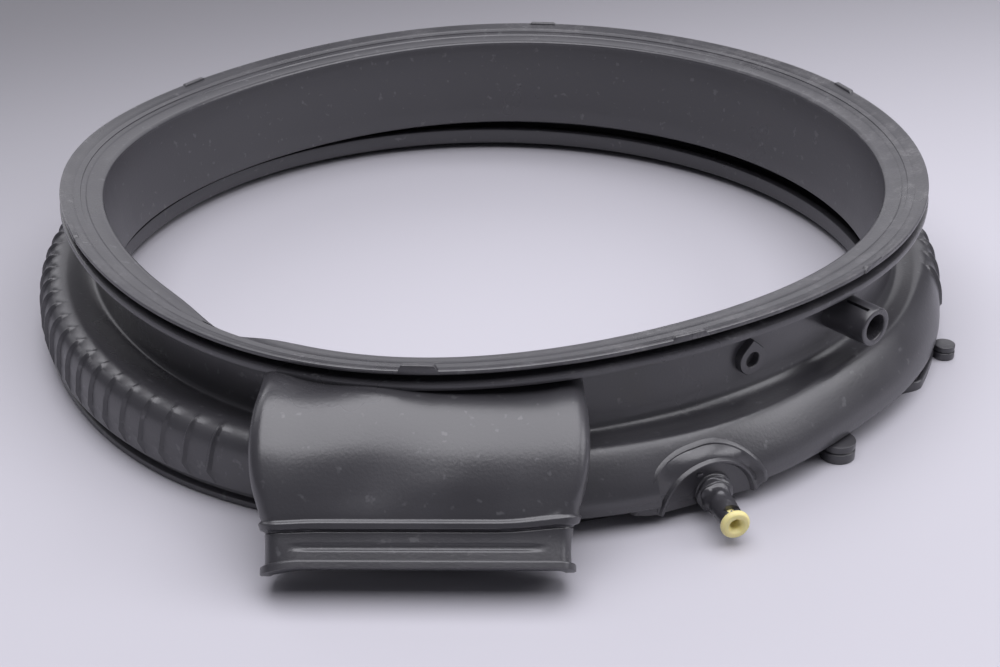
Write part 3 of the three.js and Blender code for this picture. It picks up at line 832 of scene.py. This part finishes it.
def build_duct():
    """The duct from the ring's wall to its mouth, and back along its inside."""
    wall = bpy.context.scene.seal_spouts.duct_wall / MM
    fine_step, fine_count, coarse_count = 0.3, 68, 48
    collar_end = fine_step * fine_count
    distances = [k * fine_step for k in range(fine_count)]
    distances += [mix(collar_end, DUCT_LENGTH, k / coarse_count) for k in range(1, coarse_count + 1)]
    loops = [duct_loop(distance, 0, is_outer=True, is_trimmed=True) for distance in reversed(distances)]
    loops.append(duct_loop(0.0, 0.9, past=0.35))
    loops.append(duct_loop(0.0, -wall + 0.5, past=0.35))
    loops += [duct_loop(distance, -wall, is_trimmed=True) for distance in distances[::3] + [DUCT_LENGTH]]
    return finish_mesh(loft(loops, closed_along=True), "air_duct")


def duct_passage():
    """What the duct's passage clears out of the ring's wall."""
    wall = bpy.context.scene.seal_spouts.duct_wall / MM
    steps = 12
    loops = [duct_loop(DUCT_LENGTH * k / steps, -wall) for k in range(steps + 1)]
    bm = loft(loops)
    close_ends(bm)
    return finish_mesh(bm, "passage")


def build_drain():
    """A tube with a slot near its top."""
    radius = bpy.context.scene.seal_spouts.drain_radius / MM
    mouth = polar(DRAIN_ANGLE, WALL_R + DRAIN_LENGTH, DRAIN_HEIGHT)
    outline = [
        (radius, -DRAIN_ROOT), (radius, -6), (radius - 0.05, 0),
        (DRAIN_BORE_R, 0), (DRAIN_BORE_R, -DRAIN_ROOT),
    ]
    bm = turned(round_outline(outline, 0.7), 72, closed=True)
    piece = finish_mesh(aim(bm, DRAIN_HEADING, mouth), "drain_spout")
    slot = bmesh.new()
    bmesh.ops.create_cube(slot, size=1.0)
    bmesh.ops.scale(slot, vec=(radius * MM, SLOT_WIDTH * MM, SLOT_LENGTH * MM), verts=slot.verts)
    bmesh.ops.translate(slot, vec=(-radius * MM, 0, -SLOT_MIDDLE * MM), verts=slot.verts)
    bmesh.ops.rotate(slot, matrix=Matrix.Rotation(math.radians(SLOT_TURN), 3, "Z"), verts=slot.verts)
    cutter = finish_mesh(aim(slot, DRAIN_HEADING, mouth), "slot")
    cut_with(piece, cutter)
    shade(piece)
    return piece


def build_eyelet():
    """A teardrop plate with its peak up and a round hole."""
    lean = math.acos(EYELET_R / EYELET_PEAK)
    steps = 40
    turns = [math.pi / 2 + lean + (math.tau - 2 * lean) * k / steps for k in range(steps + 1)]
    outline = [(EYELET_R * math.cos(turn), EYELET_R * math.sin(turn)) for turn in turns]
    outline.append((0.0, EYELET_PEAK))
    count = len(outline)
    turns = [math.pi / 2 + math.tau * k / count for k in range(count)]
    hole = [(EYELET_HOLE_R * math.cos(turn), EYELET_HOLE_R * math.sin(turn)) for turn in turns]
    layers = [
        (outline, 0.0, 1.0), (outline, 3.6, 1.0), (outline, 4.0, 0.95),
        (hole, 4.0, 1.08), (hole, 3.7, 1.0), (hole, 0.0, 1.0),
    ]
    loops = [
        [Vector((-y * scale * MM, x * scale * MM, height * MM)) for x, y in loop]
        for loop, height, scale in layers
    ]
    foot = place(EYELET_ANGLE, WALL_R - 2.0, EYELET_HEIGHT)
    return finish_mesh(aim(loft(loops, closed_along=True), EYELET_ANGLE, foot), "eyelet")


def shoulder_out(side, z):
    """How far along the boss's axis the shoulder's face is, at a place beside and above it."""
    angle = BOSS_ANGLE + math.degrees(math.asin(side / SKIRT_R))
    profile = [(SKIRT_R, -40.0), (SKIRT_R, SKIRT_HEIGHT), *reversed(shoulder(flatness(angle))[1:])]
    r = profile[-1][0]
    for (r0, z0), (r1, z1) in zip(profile, profile[1:]):
        if z0 <= z <= z1:
            r = mix(r0, r1, (z - z0) / (z1 - z0))
            break
    shift = waves(RING_OVAL, angle) + bumps(BASE_BULGES, angle)
    return math.sqrt((r + shift) ** 2 - side ** 2)


def hood_sunk(turn):
    """1 low on both sides of the boss, where its hood runs out into the shoulder."""
    degrees = math.degrees(turn)
    return smooth_step(degrees, 138, 162) + 1 - smooth_step(degrees, 6, 14)


def hood_reach(turn):
    """How far the hood's crest is from the boss's axis."""
    degrees = math.degrees(turn)
    return HOOD_R + HOOD_SPREAD * smooth_step(degrees, 95, 140) * (1 - smooth_step(degrees, 190, 250))


def on_boss(turn, reach, out):
    """A point round the boss's axis, before the boss is aimed."""
    return Vector((-(BOSS_HEIGHT + reach * math.sin(turn)) * MM, reach * math.cos(turn) * MM, out * MM))


def boss_loop(turn):
    """The boss's profile at a turn round its axis, as (distance from the axis, distance out)."""
    hood = hood_reach(turn)
    sink = HOOD_SINK * hood_sunk(turn)
    sine, cosine = math.sin(turn), math.cos(turn)

    def on_shoulder(reach):
        return shoulder_out(reach * cosine, BOSS_HEIGHT + reach * sine) - sink

    crest = on_shoulder(hood) + HOOD_RISE
    cove_r, cove_out = BOSS_RIM[0]
    return [
        (hood + 1.9, on_shoulder(hood + 1.9) - 1.6),
        (hood + 1.1, on_shoulder(hood + 1.1) - 0.1),
        (hood + 0.5, on_shoulder(hood + 0.5) + 0.35),
        (hood, crest),
        (hood - 0.6, crest - 0.05),
        (mix(cove_r, hood - 0.6, 0.6), mix(BOSS_FACE + cove_out, crest, 0.42)),
        *[(reach, BOSS_FACE + out) for reach, out in BOSS_RIM],
        (BOSS_RIM[-1][0] - 0.9, BOSS_FACE),
    ]


def build_boss():
    """The arched boss: a flat face with a raised rim, and a cove up to the hood's crest."""
    steps = 144
    loops = []
    for k in range(steps):
        turn = math.tau * k / steps
        loops.append([
            on_boss(turn, reach, out)
            for reach, out in [(0.0, BOSS_FACE - BOSS_DEEP), *boss_loop(turn), (0.0, BOSS_FACE)]
        ])
    bm = loft(loops, closed_across=False, closed_along=True)
    piece = finish_mesh(aim(bm, BOSS_ANGLE, polar(BOSS_ANGLE, 0, 0)), "spray_boss")
    below = bmesh.new()
    cube = 200.0
    bmesh.ops.create_cube(below, size=cube * MM)
    bmesh.ops.translate(below, vec=polar(BOSS_ANGLE, BOSS_FACE, BOSS_BOTTOM - cube / 2), verts=below.verts)
    cut_with(piece, finish_mesh(below, "below"))
    shade(piece)
    return piece


def build_spray_spout():
    """A tube with a folded foot; its end is torn open a little on top, where the nozzle sits."""
    foot = polar(SPRAY_ANGLE, BOSS_FACE, SPRAY_HEIGHT)
    tube = [*SPRAY_TUBE, (SPRAY_BORE_R, SPRAY_LENGTH), (SPRAY_BORE_R, SPRAY_TUBE[0][1])]
    bm = turned(round_outline(tube, 0.6), 96, closed=True)
    for vert in bm.verts:
        along = vert.co.z / MM
        around = math.atan2(vert.co.y, -vert.co.x)
        bend = smooth_step(along, 0.5, 2.5) * (1 - smooth_step(along, 8, 14))
        scale = 1 + bend * (0.05 * math.sin(3 * around + along) + 0.04 * math.sin(5 * around - 1.3 * along))
        vert.co.x *= scale
        vert.co.y *= scale
    piece = finish_mesh(aim(bm, SPRAY_HEADING, foot), "spray_spout")
    for across, length, width in TEARS:
        tear = bmesh.new()
        bmesh.ops.create_cone(
            tear, cap_ends=True, segments=3, radius1=width * MM, radius2=width * MM, depth=8 * MM
        )
        bmesh.ops.scale(tear, vec=(1, length / width / 1.5, 1), verts=tear.verts)
        bmesh.ops.rotate(tear, matrix=Matrix.Rotation(math.pi / 2, 3, "Y"), verts=tear.verts)
        bmesh.ops.rotate(tear, matrix=Matrix.Rotation(math.pi / 2, 3, "X"), verts=tear.verts)
        spot = (-6.6 * MM, across * MM, (SPRAY_LENGTH - TEAR_BACK) * MM)
        bmesh.ops.translate(tear, vec=spot, verts=tear.verts)
        cut_with(piece, finish_mesh(aim(tear, SPRAY_HEADING, foot), "tear"))
    shade(piece)
    return piece


def build_boss_trim():
    """The pegs at the ends of the boss's rim and the nub on its face."""
    whole = bmesh.new()
    for angle, height, out, size in BOSS_TRIM:
        spot = polar(angle, BOSS_FACE + out, height)
        add_block(whole, size, Matrix.Translation(spot) @ turned_by(angle), 0.5)
    return finish_mesh(whole, "boss_peg")


def add_block(whole, size, matrix, round_size, top_scale=1.0):
    """Adds a block with rounded edges to a mesh; its top may be shorter than its foot."""
    bm = bmesh.new()
    bmesh.ops.create_cube(bm, size=1.0)
    bmesh.ops.scale(bm, vec=[length * MM for length in size], verts=bm.verts)
    bmesh.ops.scale(bm, vec=(1, top_scale, 1), verts=[vert for vert in bm.verts if vert.co.z > 0])
    bmesh.ops.bevel(
        bm, geom=bm.edges[:], offset=round_size * MM, segments=2, profile=0.5, affect="EDGES", material=-1
    )
    add_mesh(whole, bm, matrix)


def add_mesh(whole, bm, matrix):
    """Moves a mesh by a matrix and adds it to another."""
    bmesh.ops.transform(bm, matrix=matrix, verts=bm.verts)
    mesh = bpy.data.meshes.new("part")
    bm.to_mesh(mesh)
    bm.free()
    whole.from_mesh(mesh)
    bpy.data.meshes.remove(mesh)


def build_nozzle():
    """The plastic insert: a barrel in the spout and a rounded flange in front of it."""
    radius = bpy.context.scene.seal_spouts.nozzle_radius / MM
    heading = math.radians(SPRAY_HEADING)
    foot = polar(SPRAY_ANGLE, BOSS_FACE, SPRAY_HEIGHT)
    end = foot + Vector((math.cos(heading), math.sin(heading), 0)) * SPRAY_LENGTH * MM
    outline = [
        (BARREL_BORE_R, -BARREL_LENGTH), (BARREL_R, -BARREL_LENGTH), (BARREL_R, 0.3), (radius - 0.9, 0.3),
        (radius, 1.1), (radius, 2.3), (radius - 0.8, 3.3), (3.0, 3.3), (2.5, 2.6), (BARREL_BORE_R, 1.7),
    ]
    bm = turned(round_outline(outline, 0.4), 72, closed=True)
    return finish_mesh(aim(bm, SPRAY_HEADING, end), "nozzle_insert", plastic_material())


def build_tabs():
    """The small blocks on the rim of the door lip, each tilted as the lip leans."""
    width = bpy.context.scene.door_seal.tab_width / MM
    whole = bmesh.new()
    for angle, rise in TABS:
        rim = place(angle, TAB_R, LIP_HEIGHT + 0.1 + rise / 2, 1.0)
        slope = place(angle + 2, TAB_R, LIP_HEIGHT, 1.0) - place(angle - 2, TAB_R, LIP_HEIGHT, 1.0)
        tilt = math.atan2(slope.z, slope.xy.length)
        turn = turned_by(angle) @ Matrix.Rotation(tilt, 4, "X")
        add_block(whole, (2.2, width, 1.2 + rise), Matrix.Translation(rim) @ turn, 0.35, 0.74)
    return finish_mesh(whole, "rim_tabs")


def build_lugs():
    """The flange's round lugs, each with a groove round it and a bridge to the flange, and the strap."""
    whole = bmesh.new()
    for angle, past, size, height in LUGS:
        layers = [
            (0, 0.05), (size, 0.05), (size, height * 0.52), (size - 0.7, height * 0.56),
            (size - 0.7, height * 0.6), (size - 0.1, height * 0.64), (size - 0.1, height), (0, height),
        ]
        centre = place(angle, flange_radius(angle) + past, 0)
        add_mesh(whole, turned(round_outline(layers, 0.35), 48), Matrix.Translation(centre))
        reach = past + FLANGE_WIDTH / 2
        middle = centre - (centre - to_frame(0, 0, 0)).normalized() * reach / 2 * MM
        middle.z += 1.5 * MM
        add_block(whole, (reach, size, LUG_BRIDGE), Matrix.Translation(middle) @ turned_by(angle), 0.4)
    add_mesh(whole, strap(), Matrix.Identity(4))
    return finish_mesh(whole, "flange_lugs")


def strap():
    """The thin strap from the last lug back to the flange."""
    start = LUGS[-1][0]
    steps = 32
    loops = []
    for k in range(steps + 1):
        angle = mix(start, STRAP_TO, k / steps)
        bend = smooth_step(k / steps, 0.7, 1.0)
        outer = mix(STRAP_R, flange_radius(angle) - 0.4, bend)
        inner = outer - mix(STRAP_WIDTH, FLANGE_WIDTH / 2, bend)
        section = (
            (outer, 0.05), (outer, STRAP_HEIGHT - 0.4), (outer - 0.4, STRAP_HEIGHT),
            (inner + 0.4, STRAP_HEIGHT), (inner, STRAP_HEIGHT - 0.4), (inner, 0.05),
        )
        loops.append([polar(angle, r, z) for r, z in section])
    bm = loft(loops)
    close_ends(bm)
    return bm


def face_cutter():
    """Clears the shoulder in front of the boss, inside its hood."""
    steps = 96
    turns = [math.tau * k / steps for k in range(steps)]
    reaches = [mix(hood_reach(turn) - 0.9, CLEARED_R, hood_sunk(turn)) for turn in turns]
    outs = (BOSS_FACE - BOSS_DEEP / 2, BOSS_FACE + BOSS_DEEP)
    bm = loft([[on_boss(turn, reach, out) for turn, reach in zip(turns, reaches)] for out in outs])
    close_ends(bm)
    return finish_mesh(aim(bm, BOSS_ANGLE, polar(BOSS_ANGLE, 0, 0)), "face")


class SEAL_OT_ring(bpy.types.Operator):
    """Build the rubber ring with its lips, wall, ribbed shoulder and flange"""

    bl_idname = "door_seal.ring"
    bl_label = "Build ring"

    def execute(self, context):
        ring = build_ring()
        cut_with(ring, duct_passage())
        cut_with(ring, face_cutter())
        shade(ring)
        as_piece(ring)
        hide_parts("rubber_seal")
        as_piece(build_tabs())
        as_piece(build_lugs())
        return {"FINISHED"}


class SEAL_OT_duct(bpy.types.Operator):
    """Build the flat air duct"""

    bl_idname = "door_seal.duct"
    bl_label = "Build duct"

    def execute(self, context):
        as_piece(build_duct())
        return {"FINISHED"}


class SEAL_OT_spouts(bpy.types.Operator):
    """Build the drain spout, the eyelet and the spray boss"""

    bl_idname = "door_seal.spouts"
    bl_label = "Build spouts"

    def execute(self, context):
        as_piece(build_drain())
        as_piece(build_eyelet())
        as_piece(build_boss())
        as_piece(build_boss_trim())
        as_piece(build_spray_spout())
        return {"FINISHED"}


class SEAL_OT_nozzle(bpy.types.Operator):
    """Build the plastic spray nozzle"""

    bl_idname = "door_seal.nozzle"
    bl_label = "Build nozzle"

    def execute(self, context):
        nozzle = as_piece(build_nozzle())
        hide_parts("spray_nozzle")
        return {"FINISHED"}


def add_area_light(name, power, location, target, size):
    light = bpy.data.lights.new(name, "AREA")
    light.shape = "RECTANGLE"
    light.size, light.size_y = size
    light.energy = power
    light.color = STUDIO_WHITE
    lamp = bpy.data.objects.new(name, light)
    lamp.location = location
    lamp.rotation_euler = (Vector(target) - Vector(location)).to_track_quat("-Z", "Y").to_euler()
    bpy.context.scene.collection.objects.link(lamp)


def add_camera(settings):
    camera = bpy.data.cameras.new("Camera")
    camera.sensor_width = 36.0
    camera.lens = settings.lens
    camera.clip_start = 0.01
    holder = bpy.data.objects.new("Camera", camera)
    yaw, down, roll = math.radians(CAMERA_YAW), math.radians(CAMERA_DOWN), math.radians(CAMERA_ROLL)
    forward = Vector((math.sin(yaw) * math.cos(down), math.cos(yaw) * math.cos(down), -math.sin(down)))
    right = Vector((math.cos(yaw), -math.sin(yaw), 0))
    up = right.cross(forward)
    x_axis = right * math.cos(roll) + up * math.sin(roll)
    y_axis = up * math.cos(roll) - right * math.sin(roll)
    turn = Matrix((x_axis, y_axis, -forward)).transposed().to_4x4()
    spot = Vector((0, RING_Y * MM - settings.camera_back, settings.camera_height))
    holder.matrix_world = Matrix.Translation(spot) @ turn
    bpy.context.scene.collection.objects.link(holder)
    bpy.context.scene.camera = holder


def add_floor(settings):
    """A pale table whose colour darkens softly towards the back left: painted shade for the light falling off
    there.
    """
    # painted shade: the table's colour where the light would have fallen off, at the back left
    painted_shade = [channel * FLOOR_SHADE_SHARE for channel in settings.floor_color]
    material = new_material("Table")
    tree = material.node_tree
    position = add_node(tree, "TexCoord").outputs["Object"]
    parts = add_node(tree, "SeparateXYZ", {"Vector": position}).outputs
    depth = add_node(tree, "Math", {0: parts["X"], 1: -FLOOR_SLANT, 2: parts["Y"]}, operation="MULTIPLY_ADD")
    ends = {"Value": depth.outputs["Value"], "From Min": FLOOR_SHADE_START, "From Max": FLOOR_SHADE_FULL}
    # how far the painted shade has come in, from 0 at the front to 1 at the back left
    shade_ramp = add_node(tree, "MapRange", ends, interpolation_type="SMOOTHSTEP").outputs["Result"]
    tone = blend(tree, shade_ramp, (*settings.floor_color, 1), (*painted_shade, 1))
    add_shader(material, {"Base Color": tone, "Roughness": 0.5, "Specular IOR Level": 0.25})
    bm = bmesh.new()
    bmesh.ops.create_grid(bm, x_segments=1, y_segments=1, size=FLOOR_HALF)
    floor = finish_mesh(bm, "table", material)


def add_world():
    world = bpy.data.worlds.new("Studio")
    world.use_nodes = True
    background = world.node_tree.nodes["Background"]
    background.inputs["Color"].default_value = WORLD_COLOR
    background.inputs["Strength"].default_value = WORLD_STRENGTH
    bpy.context.scene.world = world


class SEAL_OT_stage(bpy.types.Operator):
    """Set up the table, the lights and the camera"""

    bl_idname = "door_seal.stage"
    bl_label = "Build stage"

    def execute(self, context):
        settings = context.scene.seal_stage
        add_floor(settings)
        add_world()
        for name, power, location, target, size in (
            ("Key", settings.key_power, (0.1, -0.1, 0.95), (0.1, -0.1, 0.0), (1.3, 1.2)),
            ("Back", settings.back_power, (0.0, 1.35, 0.66), (0.0, 0.0, 0.05), (2.4, 0.8)),
            ("Right", settings.right_power, (1.2, -0.1, 0.75), (0.1, -0.05, 0.03), (0.8, 0.6)),
            ("Left", settings.left_power, (-1.0, 0.8, 0.8), (-0.1, 0.0, 0.03), (0.9, 0.9)),
        ):
            add_area_light(name, power, location, target, size)
        add_camera(settings)
        context.scene.view_settings.view_transform = "Standard"
        return {"FINISHED"}


class SEAL_PT_panel(bpy.types.Panel):
    """Buttons and sizes of the door seal."""

    bl_idname = "SEAL_PT_panel"
    bl_label = "Door Seal"
    bl_space_type = "VIEW_3D"
    bl_region_type = "UI"
    bl_category = "Door Seal"

    def draw(self, context):
        scene = context.scene
        for group in (scene.door_seal, scene.seal_spouts, scene.seal_stage):
            box = self.layout.box()
            for name in group.__annotations__:
                box.prop(group, name)
        for operator in OPERATORS:
            self.layout.operator(operator.bl_idname)


OPERATORS = (SEAL_OT_ring, SEAL_OT_duct, SEAL_OT_spouts, SEAL_OT_nozzle, SEAL_OT_stage)
CLASSES = (SealSizes, SpoutSizes, StageSettings, *OPERATORS, SEAL_PT_panel)


def register():
    for cls in CLASSES:
        bpy.utils.register_class(cls)
    bpy.types.Scene.door_seal = bpy.props.PointerProperty(type=SealSizes)
    bpy.types.Scene.seal_spouts = bpy.props.PointerProperty(type=SpoutSizes)
    bpy.types.Scene.seal_stage = bpy.props.PointerProperty(type=StageSettings)


def unregister():
    del bpy.types.Scene.seal_stage
    del bpy.types.Scene.seal_spouts
    del bpy.types.Scene.door_seal
    for cls in reversed(CLASSES):
        bpy.utils.unregister_class(cls)


def main():
    register()
    bpy.ops.door_seal.stage()
    bpy.ops.door_seal.ring()
    bpy.ops.door_seal.duct()
    bpy.ops.door_seal.spouts()
    bpy.ops.door_seal.nozzle()


if __name__ == "__main__":
    main()
